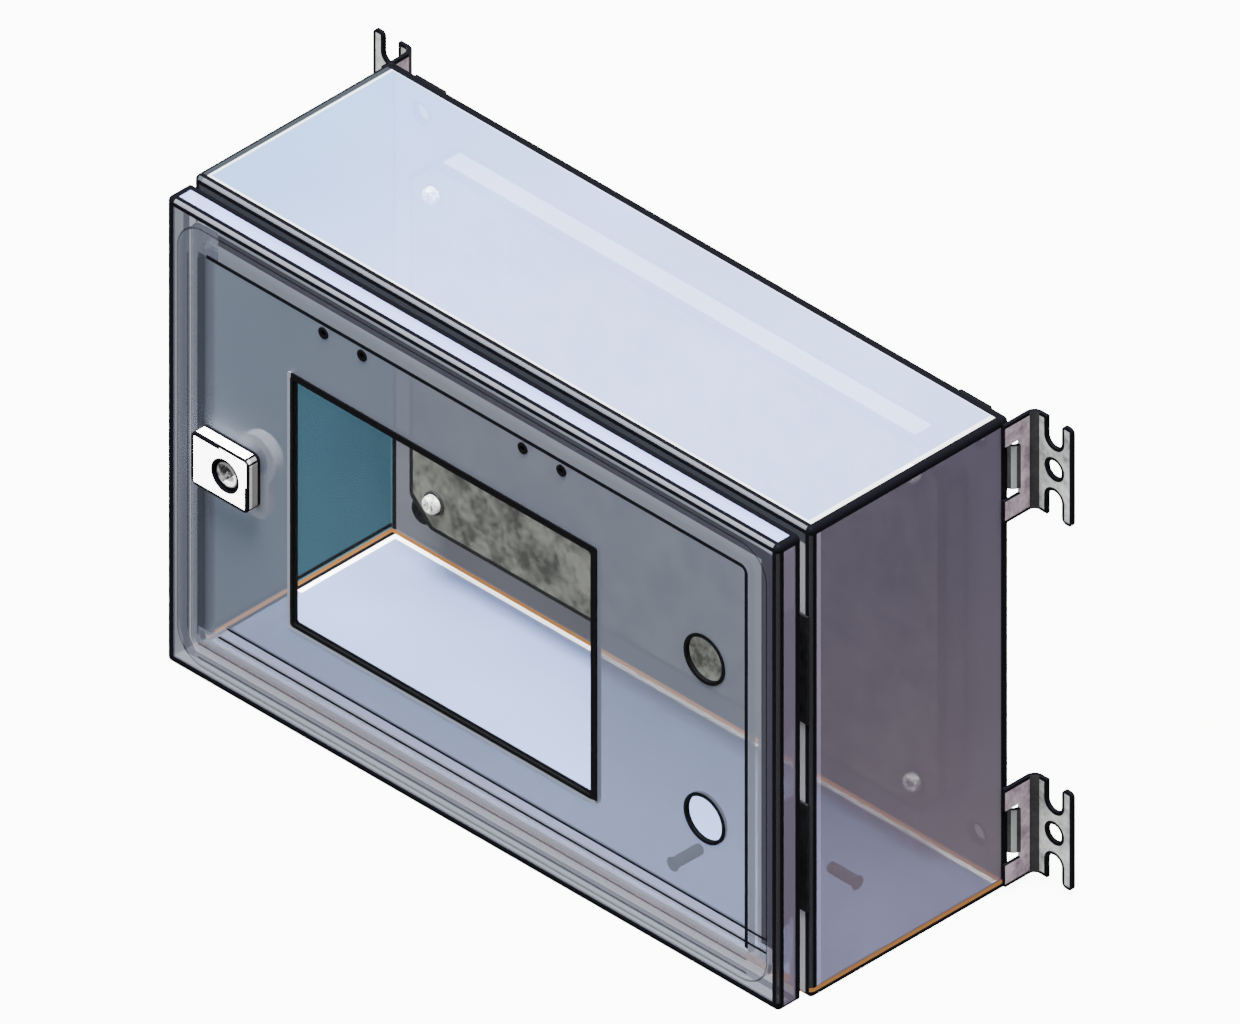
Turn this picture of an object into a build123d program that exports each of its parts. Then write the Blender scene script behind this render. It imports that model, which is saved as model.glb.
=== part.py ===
from build123d import *
import os

os.makedirs("parts", exist_ok=True)

# Wall enclosure of folded steel sheet with a hinged window door.
# +X is to the right seen from the front, +Y to the back and +Z up.
# Depths count from the door's front face, heights from the underside,
# widths from the middle plane. save() then moves each piece to the origin,
# which is the middle of the underside of the space that the whole takes.

# Sheet and folds
sheet = 1.5
bend_radius = 4.0
rim_bend_radius = 1.4

# Body
body_width = 600.0
body_height = 395.0
body_depth = 193.1
body_hole_inset = 30.0
body_hole_diameter = 14.0

# Rim that the door's seal closes on
rim_inset = 18.0
rim_height = 21.2
rim_width = 13.5
rim_return = 9.5
rim_corner_radius = 10.0

# Door
door_depth = 21.3
door_body_gap = 7.9
door_side_gap = 2.8
door_end_gap = 2.0
seal_inset = 14.0
seal_width = 19.7
seal_corner_radius = 25.0
seal_dome_radius = 3.0
seal_gap = 0.3

# Window
window_from_left = 123.4
window_width = 296.1
window_height = 211.8
window_corner_radius = 2.0
pane_thickness = 3.0
window_seal_lip = 2.0
window_seal_web = 1.5
window_seal_face = 1.0

# Round holes for instruments
round_hole_diameter = 37.0
round_hole_from_right = 74.0
round_hole_spacing = 134.0
edging_wall = 1.2
edging_lip = 1.4
edging_face = 0.8

# Threaded inserts between the window and the seal, for a cover
insert_below_seal = 7.4
insert_from_middle = 78.0
insert_pitch = 37.6
insert_hole_diameter = 7.0
insert_flange_diameter = 9.0
insert_flange_height = 0.8
insert_length = 9.0
insert_bore_diameter = 4.2

# Earthing studs
earth_stud_height = 75.0
earth_stud_from_right = 106.5
earth_stud_behind_front = 46.8
earth_stud_length = 27.0
earth_stud_diameter = 8.0
earth_stud_foot_diameter = 11.5
earth_stud_foot_height = 3.0

# Lock and latch
lock_from_left = 72.0
lock_block_left = 33.7
lock_block_width = 56.0
lock_block_height = 45.0
lock_block_depth = 12.0
lock_block_radius = 5.5
lock_block_edge_radius = 1.5
lock_recess_diameter = 24.0
lock_recess_depth = 4.0
lock_sleeve_diameter = 22.0
lock_sleeve_clearance = 0.2
lock_core_diameter = 18.0
lock_core_flange_diameter = 22.0
lock_core_flange_height = 1.7
key_well_diameter = 13.0
key_well_depth = 7.0
key_post_diameter = 4.0
key_post_wing_width = 2.0
key_post_wing_length = 8.0
lock_nut_flats = 27.0
lock_nut_height = 5.0
cam_gap = 0.7
cam_hub_diameter = 37.0
cam_hub_height = 10.5
cam_tongue_reach = 50.0
cam_tongue_width = 24.0
cam_tongue_thickness = 5.0
cam_square = 9.0
cam_screw_head_diameter = 11.0
cam_screw_head_height = 3.5
cam_screw_diameter = 5.0
cam_screw_length = 9.0

# Hinges
hinge_spacing = 158.0
hinge_leaf_height = 90.0
hinge_door_leaf_height = 96.0
hinge_leaf_thickness = 2.0
hinge_knuckle_radius = 3.2
hinge_end_knuckle = 20.0
hinge_axis_depth = 17.0
hinge_door_leaf_width = 8.8
hinge_foot_width = 16.0
hinge_pin_diameter = 4.0
hinge_pin_head_diameter = 6.0
hinge_pin_head_height = 1.5
hinge_screw_spacing = 26.0
hinge_screw_diameter = 3.5
hinge_screw_head_diameter = 6.0
hinge_screw_head_height = 1.8
hinge_screw_length = 6.0
hinge_screw_before_gutter = 6.2

# Mounting plate
plate_side_margin = 39.2
plate_end_margin = 40.5
plate_sheet = 2.0
plate_flange = 23.2
plate_bend_radius = 4.5
plate_corner_cut = 25.0
plate_screw_inset = 27.3
plate_screw_diameter = 8.0
plate_screw_length = 14.0
plate_screw_head_diameter = 14.0
plate_screw_head_height = 5.5
plate_washer_diameter = 18.0
plate_washer_height = 1.6
spacer_diameter = 14.0
cross_recess_length = 7.5
cross_recess_width = 1.6
cross_recess_depth = 2.4

# Wall brackets
bracket_sheet = 3.0
bracket_height = 82.0
bracket_from_end = 44.5
bracket_standoff = 24.0
bracket_reach = 39.5
bracket_fold_radius = 4.7
bracket_foot_length = 50.0
bracket_foot_neck = 36.0
bracket_foot_corner_long = 21.0
bracket_foot_corner_short = 12.0
bracket_foot_inset = 9.0
bracket_hook_depth = 7.5
bracket_window_height = 46.0
bracket_hole_from_side = 22.2
bracket_hole_diameter = 14.0
bracket_slot_width = 14.5
bracket_slot_from_hole = 18.4
bracket_arm_radius = 4.0
bracket_stud_diameter = 8.0
bracket_stud_length = 12.0
bracket_nut_flats = 13.0
bracket_nut_height = 6.5

# Clearances
running_clearance = 0.05
moving_clearance = 0.3
seat_clearance = 0.02
hole_clearance = 0.5
edge_search = 0.1

# Depths and heights that follow from the sizes above
middle_height = body_height / 2
plate_width = body_width - 2 * plate_side_margin
plate_height = body_height - 2 * plate_end_margin
insert_height = body_height - seal_inset - seal_width - insert_below_seal
body_front = door_depth + door_body_gap
body_back = body_front + body_depth
back_inner_face = body_back - sheet
rim_front = body_front - rim_height
window_x = -body_width / 2 + window_from_left + window_width / 2
lock_x = -body_width / 2 + lock_from_left
round_hole_x = body_width / 2 - round_hole_from_right
door_flange_face = body_width / 2 - door_side_gap - sheet
hinge_x = door_flange_face - hinge_knuckle_radius
rim_side = body_width / 2 - rim_inset
hinge_heights = {
    "upper": middle_height + hinge_spacing / 2,
    "lower": middle_height - hinge_spacing / 2,
}
cam_front = rim_front + rim_return + cam_gap
lock_sleeve_end = cam_front - moving_clearance
plate_back = back_inner_face - moving_clearance
plate_front = plate_back - plate_flange
bracket_back = body_back + bracket_standoff
origin_depth = (bracket_back - lock_block_depth) / 2
plate_screw_x = plate_width / 2 - plate_screw_inset
plate_screw_rise = plate_height / 2 - plate_screw_inset
plate_screw_places = [
    (side * plate_screw_x, middle_height + end * plate_screw_rise)
    for side in (-1, 1)
    for end in (-1, 1)
]
body_corners = {
    "top_left": (-1, 1),
    "top_right": (1, 1),
    "bottom_left": (-1, -1),
    "bottom_right": (1, -1),
}


def save(name, *shapes):
    """Move the pieces of one node to the origin and write them as one file."""
    moved = [Pos(0, -origin_depth, 0) * shape for shape in shapes]
    result = moved[0] if len(moved) == 1 else Compound(children=moved)
    export_step(result, f"parts/{name}.step")


def bar(x_low, x_high, y_low, y_high, z_low, z_high):
    """Block between two corners."""
    centre = Pos((x_low + x_high) / 2, (y_low + y_high) / 2, (z_low + z_high) / 2)
    return centre * Box(x_high - x_low, y_high - y_low, z_high - z_low)


def slab(sketch, front, back):
    """Solid between two depths whose outline is drawn as seen from the front."""
    plane = Plane(origin=(0, back, 0), x_dir=(1, 0, 0), z_dir=(0, -1, 0))
    return extrude(plane * sketch, back - front)


def rod_back(radius, x, z, front, back):
    """Round bar that runs from front to back."""
    return slab(Pos(x, z) * Circle(radius), front, back)


def rod_side(radius, y, z, left, right):
    """Round bar that runs from left to right."""
    return Pos((left + right) / 2, y, z) * Rot(0, 90, 0) * Cylinder(radius, right - left)


def outline_block(inset, front, back, corner):
    """Block with the body's outline less an inset on all sides."""
    sketch = RectangleRounded(body_width - 2 * inset, body_height - 2 * inset, corner)
    return slab(Pos(0, middle_height) * sketch, front, back)


def folded_block(width, height, front, back, radius):
    """Block with rounded front edges and corners, as a pan's outside or inside."""
    block = bar(-width / 2, width / 2, front, back, middle_height - height / 2, middle_height + height / 2)
    edges = block.edges().filter_by(Axis.Y) + block.edges().group_by(Axis.Y)[0]
    return fillet(edges, radius)


def cross_recess(x, z, front):
    """Crossed slots that a screwdriver fits."""
    half_long = cross_recess_length / 2
    half_wide = cross_recess_width / 2
    back = front + cross_recess_depth
    upright = bar(x - half_wide, x + half_wide, front, back, z - half_long, z + half_long)
    level = bar(x - half_long, x + half_long, front, back, z - half_wide, z + half_wide)
    return upright + level


def hexagon(flats, x, z, front, back):
    """Hexagonal nut blank that faces the front."""
    return slab(Pos(x, z) * RegularPolygon(flats / 2, 6, major_radius=False), front, back)


def body_box():
    """Closed hollow box of sheet, before its front is opened."""
    outside = bar(-body_width / 2, body_width / 2, body_front, body_back, 0, body_height)
    inside = bar(
        -body_width / 2 + sheet,
        body_width / 2 - sheet,
        body_front + sheet,
        back_inner_face,
        sheet,
        body_height - sheet,
    )
    return fillet(outside.edges(), bend_radius) - fillet(inside.edges(), bend_radius - sheet)


def folded_walls():
    """Four walls with the gutter and the seal rim folded in at the front."""
    gutter_back = body_front + sheet
    seam = body_back - bend_radius
    walls = body_box() & bar(-body_width, body_width, 0, seam, -sheet, body_height + sheet)
    rim = outline_block(rim_inset, rim_front, gutter_back, rim_corner_radius)
    rim -= outline_block(rim_inset + sheet, rim_front + sheet, gutter_back, rim_corner_radius - sheet)
    return_inset = rim_inset + rim_width - sheet
    return_corner = rim_corner_radius / 2
    rim += outline_block(return_inset, rim_front, rim_front + rim_return, return_corner)
    rim -= outline_block(rim_inset + rim_width, rim_front, rim_front + rim_return, return_corner / 2)
    front_edges = rim.edges().group_by(Axis.Y)[0]
    rim = fillet(front_edges, rim_bend_radius)
    walls -= outline_block(rim_inset + sheet, body_front, gutter_back, rim_corner_radius - sheet)
    return walls + rim


def rear_panel():
    """Back wall with its folded edges and the four holes for wall bolts."""
    seam = body_back - bend_radius
    panel = body_box() & bar(-body_width, body_width, seam, body_back, -sheet, body_height + sheet)
    for side, end in body_corners.values():
        x = side * (body_width / 2 - body_hole_inset)
        z = middle_height + end * (middle_height - body_hole_inset)
        panel -= rod_back(body_hole_diameter / 2, x, z, back_inner_face, body_back)
    return panel


def door_panel():
    """Shallow pan of sheet with its cut-outs."""
    width = body_width - 2 * door_side_gap
    height = body_height - 2 * door_end_gap
    door = folded_block(width, height, 0, door_depth, bend_radius)
    inner_radius = bend_radius - sheet
    door -= folded_block(width - 2 * sheet, height - 2 * sheet, sheet, door_depth, inner_radius)
    cutout = RectangleRounded(window_width, window_height, window_corner_radius)
    door -= slab(Pos(window_x, middle_height) * cutout, 0, sheet)
    for z in round_hole_heights():
        door -= rod_back(round_hole_diameter / 2, round_hole_x, z, 0, sheet)
    for x in insert_places():
        door -= rod_back(insert_hole_diameter / 2 + seat_clearance, x, insert_height, 0, sheet)
    sleeve_hole = lock_sleeve_diameter / 2 + lock_sleeve_clearance
    door -= rod_back(sleeve_hole, lock_x, middle_height, 0, sheet)
    return door


def round_hole_heights():
    return [middle_height - round_hole_spacing / 2, middle_height + round_hole_spacing / 2]


def insert_places():
    """Places across the door, in two pairs about the window's middle."""
    offsets = [insert_from_middle, insert_from_middle + insert_pitch]
    return [window_x + side * offset for side in (-1, 1) for offset in offsets]


def door_seal():
    """Foamed seal, pressed flat by the rim except for its working gap."""
    back = rim_front - seal_gap
    seal = outline_block(seal_inset, sheet, back, seal_corner_radius)
    inner_corner = max(seal_corner_radius - seal_width, seal_dome_radius)
    seal -= outline_block(seal_inset + seal_width, sheet, back, inner_corner)
    return fillet(seal.edges().group_by(Axis.Y)[-1], seal_dome_radius)


def window_outline(inset, front, back):
    """Block with the window cut-out's outline less an inset."""
    corner = window_corner_radius
    sketch = RectangleRounded(window_width - 2 * inset, window_height - 2 * inset, corner)
    return slab(Pos(window_x, middle_height) * sketch, front, back)


def window_pane():
    return window_outline(window_seal_web, 0, pane_thickness)


def window_seal():
    """Rubber profile with one groove for the door sheet and one for the pane."""
    back = pane_thickness + window_seal_face
    lip_inset = window_seal_web + window_seal_lip
    seal = window_outline(-window_seal_lip, -window_seal_face, back)
    seal -= window_outline(lip_inset, -window_seal_face, back)
    seal -= window_outline(window_seal_web, 0, pane_thickness)
    groove = window_outline(-window_seal_lip, 0, sheet) - window_outline(0, 0, sheet)
    return seal - groove


def hole_edging(z):
    """Rubber ring pressed over the rim of a round hole."""
    hole = round_hole_diameter / 2
    ring = rod_back(hole + edging_lip, round_hole_x, z, -edging_face, sheet + edging_face)
    ring -= rod_back(hole + edging_lip, round_hole_x, z, 0, sheet)
    ring += rod_back(hole, round_hole_x, z, 0, sheet)
    return ring - rod_back(hole - edging_wall, round_hole_x, z, -edging_face, sheet + edging_face)


def cover_insert(x):
    """Rivet nut with its flange on the door's front face."""
    z = insert_height
    insert = rod_back(insert_flange_diameter / 2, x, z, -insert_flange_height, 0)
    insert += rod_back(insert_hole_diameter / 2, x, z, 0, insert_length)
    insert += rod_back(insert_flange_diameter / 2, x, z, sheet, sheet + insert_hole_diameter / 2)
    return insert - rod_back(insert_bore_diameter / 2, x, z, -insert_flange_height, insert_length)


def earth_stud():
    """Weld stud that stands up from its foot, along +Z."""
    foot = Cone(
        earth_stud_foot_diameter / 2,
        earth_stud_diameter / 2,
        earth_stud_foot_height,
        align=(Align.CENTER, Align.CENTER, Align.MIN),
    )
    shank = Cylinder(
        earth_stud_diameter / 2,
        earth_stud_length,
        align=(Align.CENTER, Align.CENTER, Align.MIN),
    )
    shank = chamfer(shank.edges().group_by(Axis.Z)[-1], earth_stud_diameter / 10)
    return foot + shank


def lock_housing():
    """Block on the door's face and the threaded sleeve through the door."""
    left = -body_width / 2 + lock_from_left - lock_block_left
    middle = left + lock_block_width / 2
    face = -lock_block_depth
    outline = RectangleRounded(lock_block_width, lock_block_height, lock_block_radius)
    block = slab(Pos(middle, middle_height) * outline, face, 0)
    block = fillet(block.edges().group_by(Axis.Y)[0], lock_block_edge_radius)
    block += rod_back(lock_sleeve_diameter / 2, lock_x, middle_height, 0, lock_sleeve_end)
    recess_back = face + lock_recess_depth
    block -= rod_back(lock_recess_diameter / 2, lock_x, middle_height, face, recess_back)
    bore = lock_core_diameter / 2 + running_clearance
    return block - rod_back(bore, lock_x, middle_height, recess_back, lock_sleeve_end)


def lock_nut():
    back = sheet + lock_nut_height
    nut = hexagon(lock_nut_flats, lock_x, middle_height, sheet, back)
    bore = lock_sleeve_diameter / 2 + seat_clearance
    return nut - rod_back(bore, lock_x, middle_height, sheet, back)


def lock_core():
    """Turning core with its key well in front and the cam's square behind."""
    flange_back = -lock_block_depth + lock_recess_depth - moving_clearance
    front = flange_back - lock_core_flange_height
    core = rod_back(lock_core_flange_diameter / 2, lock_x, middle_height, front, flange_back)
    core += rod_back(lock_core_diameter / 2, lock_x, middle_height, flange_back, cam_front)
    half = cam_square / 2
    cam_back = cam_front + cam_hub_height
    core += bar(lock_x - half, lock_x + half, cam_front, cam_back, middle_height - half, middle_height + half)
    well_back = front + key_well_depth
    core -= rod_back(key_well_diameter / 2, lock_x, middle_height, front, well_back)
    post_front = front + lock_core_flange_height / 2
    core += rod_back(key_post_diameter / 2, lock_x, middle_height, post_front, well_back)
    wing = Rectangle(key_post_wing_length, key_post_wing_width)
    core += slab(Pos(lock_x, middle_height) * Rot(0, 0, 45) * wing, post_front, well_back)
    screw_hole = cam_screw_diameter / 2 + seat_clearance
    return core - rod_back(screw_hole, lock_x, middle_height, cam_back - cam_screw_length, cam_back)


def lock_cam():
    """Latch cam, stored with its tongue down."""
    back = cam_front + cam_hub_height
    cam = rod_back(cam_hub_diameter / 2, lock_x, middle_height, cam_front, back)
    cam = fillet(cam.edges().group_by(Axis.Y)[-1], cam_hub_height / 4)
    tip_radius = cam_tongue_width / 2
    straight = cam_tongue_reach - tip_radius
    tongue = Pos(lock_x, middle_height - straight / 2) * Rectangle(cam_tongue_width, straight)
    tongue += Pos(lock_x, middle_height - straight) * Circle(tip_radius)
    cam += slab(tongue, cam_front, cam_front + cam_tongue_thickness)
    half = cam_square / 2 + seat_clearance
    cam -= bar(lock_x - half, lock_x + half, cam_front, back, middle_height - half, middle_height + half)
    return cam


def cam_screw():
    face = cam_front + cam_hub_height
    back = face + cam_screw_head_height
    head = rod_back(cam_screw_head_diameter / 2, lock_x, middle_height, face, back)
    head = fillet(head.edges().group_by(Axis.Y)[-1], cam_screw_head_height / 3)
    recess_front = back - cross_recess_depth
    head -= cross_recess(lock_x, middle_height, recess_front)
    tip = face - cam_screw_length + hole_clearance
    return head + rod_back(cam_screw_diameter / 2, lock_x, middle_height, tip, face)


def knuckle(z_low, z_high, bore):
    """Rolled eye of a hinge leaf round the pin's axis."""
    place = Pos(hinge_x, hinge_axis_depth, (z_low + z_high) / 2)
    return place * (Cylinder(hinge_knuckle_radius, z_high - z_low) - Cylinder(bore, z_high - z_low))


def hinge_body_leaf(z):
    """Angle on the rim and in the gutter, with two arms that end in knuckles."""
    half = hinge_leaf_height / 2
    thick = hinge_leaf_thickness
    arm_front = hinge_axis_depth - hinge_knuckle_radius
    leaf = bar(rim_side, rim_side + thick, arm_front, body_front, z - half, z + half)
    leaf += bar(rim_side, rim_side + hinge_foot_width, body_front - thick, body_front, z - half, z + half)
    bore = hinge_pin_diameter / 2 + seat_clearance
    for low in (z - half, z + half - hinge_end_knuckle):
        high = low + hinge_end_knuckle
        leaf += bar(rim_side + thick, hinge_x, arm_front, arm_front + thick, low, high)
        axis = Pos(hinge_x, hinge_axis_depth, (low + high) / 2)
        leaf -= axis * Cylinder(bore, high - low)
        leaf += knuckle(low, high, bore)
    middle = half - hinge_end_knuckle
    leaf -= bar(rim_side + thick, hinge_x, arm_front, hinge_axis_depth, z - middle, z + middle)
    for offset in (-hinge_screw_spacing / 2, hinge_screw_spacing / 2):
        hole = hinge_screw_diameter / 2 + seat_clearance
        leaf -= rod_side(hole, hinge_screw_depth(), z + offset, rim_side, rim_side + thick)
    return leaf


def hinge_screw_depth():
    return body_front - hinge_screw_before_gutter


def hinge_door_leaf(z):
    """Strip on the inside of the door's fold, with the middle knuckle."""
    half = hinge_door_leaf_height / 2
    eye = hinge_leaf_height / 2 - hinge_end_knuckle - moving_clearance
    strip_back = hinge_axis_depth - hinge_knuckle_radius - 2 * moving_clearance
    strip_front = strip_back - hinge_door_leaf_width
    left = door_flange_face - hinge_leaf_thickness
    leaf = bar(left, door_flange_face, strip_front, strip_back, z - half, z + half)
    leaf += bar(left, door_flange_face, strip_back, hinge_axis_depth, z - eye, z + eye)
    bore = hinge_pin_diameter / 2 + running_clearance
    leaf -= Pos(hinge_x, hinge_axis_depth, z) * Cylinder(bore, 2 * eye)
    return leaf + knuckle(z - eye, z + eye, bore)


def hinge_pin(z):
    half = hinge_leaf_height / 2
    pin = Pos(hinge_x, hinge_axis_depth, z) * Cylinder(hinge_pin_diameter / 2, hinge_leaf_height)
    head_centre = z + half + hinge_pin_head_height / 2
    head = Cylinder(hinge_pin_head_diameter / 2, hinge_pin_head_height)
    return pin + Pos(hinge_x, hinge_axis_depth, head_centre) * head


def hinge_screw(z):
    """Screw through the leaf and the rim's side."""
    face = rim_side + hinge_leaf_thickness
    depth = hinge_screw_depth()
    head = rod_side(hinge_screw_head_diameter / 2, depth, z, face, face + hinge_screw_head_height)
    head = fillet(head.edges().group_by(Axis.X)[-1], hinge_screw_head_height / 3)
    return head + rod_side(hinge_screw_diameter / 2, depth, z, face - hinge_screw_length, face)


def body_shell():
    """Folded walls drilled for the hinge screws."""
    shell = folded_walls()
    hole = hinge_screw_diameter / 2 + seat_clearance
    for z in hinge_screw_heights():
        shell -= rod_side(hole, hinge_screw_depth(), z, rim_side - sheet, rim_side)
    return shell


def hinge_screw_heights():
    half = hinge_screw_spacing / 2
    return [z + offset for z in hinge_heights.values() for offset in (-half, half)]


def mounting_plate():
    """Flanged plate with cut corners, carried on four spacers."""
    outside = folded_block(plate_width, plate_height, plate_front, plate_back, plate_bend_radius)
    inside = folded_block(
        plate_width - 2 * plate_sheet,
        plate_height - 2 * plate_sheet,
        plate_front + plate_sheet,
        plate_back,
        plate_bend_radius - plate_sheet,
    )
    outline = Rectangle(plate_width, plate_height)
    outline = chamfer(outline.vertices(), plate_corner_cut)
    plate = (outside - inside) & slab(Pos(0, middle_height) * outline, plate_front, plate_back)
    hole = plate_screw_diameter / 2 + hole_clearance
    for x, z in plate_screw_places:
        plate -= rod_back(hole, x, z, plate_front, plate_front + plate_sheet)
    return plate


def plate_spacer(x, z):
    front = plate_front + plate_sheet
    spacer = rod_back(spacer_diameter / 2, x, z, front, back_inner_face)
    bore = plate_screw_diameter / 2 + seat_clearance
    return spacer - rod_back(bore, x, z, front, front + plate_screw_length)


def plate_washer(x, z):
    washer = rod_back(plate_washer_diameter / 2, x, z, plate_front - plate_washer_height, plate_front)
    hole = plate_screw_diameter / 2 + hole_clearance
    return washer - rod_back(hole, x, z, plate_front - plate_washer_height, plate_front)


def plate_screw(x, z):
    back = plate_front - plate_washer_height
    front = back - plate_screw_head_height
    head = rod_back(plate_screw_head_diameter / 2, x, z, front, back)
    head = fillet(head.edges().group_by(Axis.Y)[0], plate_screw_head_height / 2)
    head -= cross_recess(x, z, front)
    tip = plate_front + plate_screw_length
    return head + rod_back(plate_screw_diameter / 2, x, z, back, tip)


def angle_profile(points, inner_corner, outer_corner):
    """Folded strip seen from above, with its fold rounded inside and out."""
    profile = make_face(Polyline(*points, close=True))
    inner = profile.vertices().sort_by_distance(inner_corner)[0]
    profile = fillet(inner, bracket_fold_radius)
    outer = profile.vertices().sort_by_distance(outer_corner)[0]
    return fillet(outer, bracket_fold_radius + bracket_sheet)


def wall_bracket():
    """Right-hand wall bracket about its own middle height."""
    side = body_width / 2
    outer = side + bracket_sheet
    foot_back = body_back + bracket_sheet
    arm_front = bracket_back - bracket_sheet
    tip = side + bracket_reach
    window_back = foot_back + bracket_fold_radius
    half = bracket_height / 2
    neck_half = bracket_foot_neck / 2

    arm_points = [
        (side, body_back - bracket_hook_depth),
        (outer, body_back - bracket_hook_depth),
        (outer, arm_front),
        (tip, arm_front),
        (tip, bracket_back),
        (side, bracket_back),
    ]
    arm_profile = angle_profile(arm_points, (outer, arm_front, 0), (side, bracket_back, 0))
    arm = extrude(Pos(0, 0, -half) * arm_profile, bracket_height)
    window_half = bracket_window_height / 2
    arm -= bar(side, outer, body_back - bracket_hook_depth, window_back, -window_half, window_half)

    foot_tip = side - bracket_foot_length
    neck_end = window_back + bracket_sheet
    neck_points = [
        (foot_tip, body_back),
        (outer, body_back),
        (outer, neck_end),
        (side, neck_end),
        (side, foot_back),
        (foot_tip, foot_back),
    ]
    neck_profile = angle_profile(neck_points, (side, foot_back, 0), (outer, body_back, 0))
    neck = extrude(Pos(0, 0, -neck_half) * neck_profile, bracket_foot_neck)

    foot_side = side - bracket_foot_inset
    foot_outline = [
        (foot_tip, -half),
        (foot_side - bracket_foot_corner_short, -half),
        (foot_side, -half + bracket_foot_corner_long),
        (foot_side, half - bracket_foot_corner_long),
        (foot_side - bracket_foot_corner_short, half),
        (foot_tip, half),
    ]
    foot = slab(make_face(Polyline(*foot_outline, close=True)), body_back, foot_back)
    bracket = arm + neck + foot

    hole_x = side + bracket_hole_from_side
    bracket -= rod_back(bracket_hole_diameter / 2, hole_x, 0, arm_front, bracket_back)
    slot_radius = bracket_slot_width / 2
    for end in (-1, 1):
        slot_end = end * (bracket_slot_from_hole + slot_radius)
        bracket -= rod_back(slot_radius, hole_x, slot_end, arm_front, bracket_back)
        low, high = sorted((slot_end, end * half))
        bracket -= bar(hole_x - slot_radius, hole_x + slot_radius, arm_front, bracket_back, low, high)
        ends = bracket.edges().filter_by(Axis.Y).filter_by_position(Axis.Y, arm_front, bracket_back)
        ends = ends.filter_by_position(Axis.Z, end * half - edge_search, end * half + edge_search)
        ends = ends.filter_by_position(Axis.X, hole_x, tip + edge_search)
        bracket = fillet(ends, bracket_arm_radius)
    return bracket


def bracket_hole_offset():
    """Distance of each foot hole above or below the bracket's middle."""
    return bracket_from_end - body_hole_inset


def bracket_at(side, end):
    """Bracket at one corner of the body, drilled for the wall bolt and its stud."""
    bracket = wall_bracket()
    foot_back = body_back + bracket_sheet
    hole_x = body_width / 2 - body_hole_inset
    offset = end * bracket_hole_offset()
    bracket -= rod_back(body_hole_diameter / 2, hole_x, offset, body_back, foot_back)
    stud_hole = bracket_stud_diameter / 2 + hole_clearance
    bracket -= rod_back(stud_hole, hole_x, -offset, body_back, foot_back)
    if side < 0:
        bracket = mirror(bracket, about=Plane.YZ)
    return Pos(0, 0, bracket_middle(end)) * bracket


def bracket_middle(end):
    return middle_height + end * (middle_height - bracket_from_end)


def bracket_stud_place(side, end):
    """Place of the weld stud that holds one bracket."""
    x = side * (body_width / 2 - body_hole_inset)
    return x, bracket_middle(end) - end * bracket_hole_offset()


def bracket_stud(side, end):
    x, z = bracket_stud_place(side, end)
    return rod_back(bracket_stud_diameter / 2, x, z, body_back, body_back + bracket_stud_length)


def bracket_nut(side, end):
    x, z = bracket_stud_place(side, end)
    front = body_back + bracket_sheet
    back = front + bracket_nut_height
    nut = hexagon(bracket_nut_flats, x, z, front, back)
    return nut - rod_back(bracket_stud_diameter / 2 + seat_clearance, x, z, front, back)


save("body_shell", body_shell())
save("rear_panel", rear_panel())
save("door_panel", door_panel())
save("door_gasket", door_seal())
save("window_pane", window_pane())
save("window_seal", window_seal())
save("hole_edgings", *[hole_edging(z) for z in round_hole_heights()])
save("cover_inserts", *[cover_insert(x) for x in insert_places()])

door_stud_x = body_width / 2 - earth_stud_from_right
body_stud_y = body_front + earth_stud_behind_front
save("earth_stud_door", Pos(door_stud_x, sheet, earth_stud_height) * Rot(-90, 0, 0) * earth_stud())
body_stud_place = Pos(body_width / 2 - sheet, body_stud_y, earth_stud_height)
save("earth_stud_body", body_stud_place * Rot(0, -90, 0) * earth_stud())

save("lock_housing", lock_housing())
save("lock_nut", lock_nut())
save("lock_core", lock_core())
save("lock_cam", lock_cam())
save("cam_screw", cam_screw())

for hinge_name, hinge_z in hinge_heights.items():
    save(f"{hinge_name}_hinge_body_leaf", hinge_body_leaf(hinge_z))
    save(f"{hinge_name}_hinge_door_leaf", hinge_door_leaf(hinge_z))
    save(f"{hinge_name}_hinge_pin", hinge_pin(hinge_z))
save("hinge_screws", *[hinge_screw(z) for z in hinge_screw_heights()])

save("mounting_plate", mounting_plate())
save("plate_spacers", *[plate_spacer(x, z) for x, z in plate_screw_places])
save("plate_washers", *[plate_washer(x, z) for x, z in plate_screw_places])
save("plate_screws", *[plate_screw(x, z) for x, z in plate_screw_places])

for corner_name, (corner_side, corner_end) in body_corners.items():
    save(f"bracket_{corner_name}", bracket_at(corner_side, corner_end))
save("bracket_studs", *[bracket_stud(*corner) for corner in body_corners.values()])
save("bracket_nuts", *[bracket_nut(*corner) for corner in body_corners.values()])
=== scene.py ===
from math import cos, pi, radians, sin

import bmesh
import bpy
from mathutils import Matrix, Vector


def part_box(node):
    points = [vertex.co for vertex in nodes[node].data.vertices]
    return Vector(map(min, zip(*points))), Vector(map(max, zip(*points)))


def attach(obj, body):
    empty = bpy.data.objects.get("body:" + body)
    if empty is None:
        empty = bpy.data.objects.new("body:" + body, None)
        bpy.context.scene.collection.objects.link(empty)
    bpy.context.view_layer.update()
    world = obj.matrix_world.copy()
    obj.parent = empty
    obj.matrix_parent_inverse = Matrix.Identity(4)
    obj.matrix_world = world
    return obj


# Dressed model of a wall enclosure that is drawn see-through, with inked edges.
# Metres, +X to the right seen from the front, +Y to the wall and +Z up.

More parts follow.
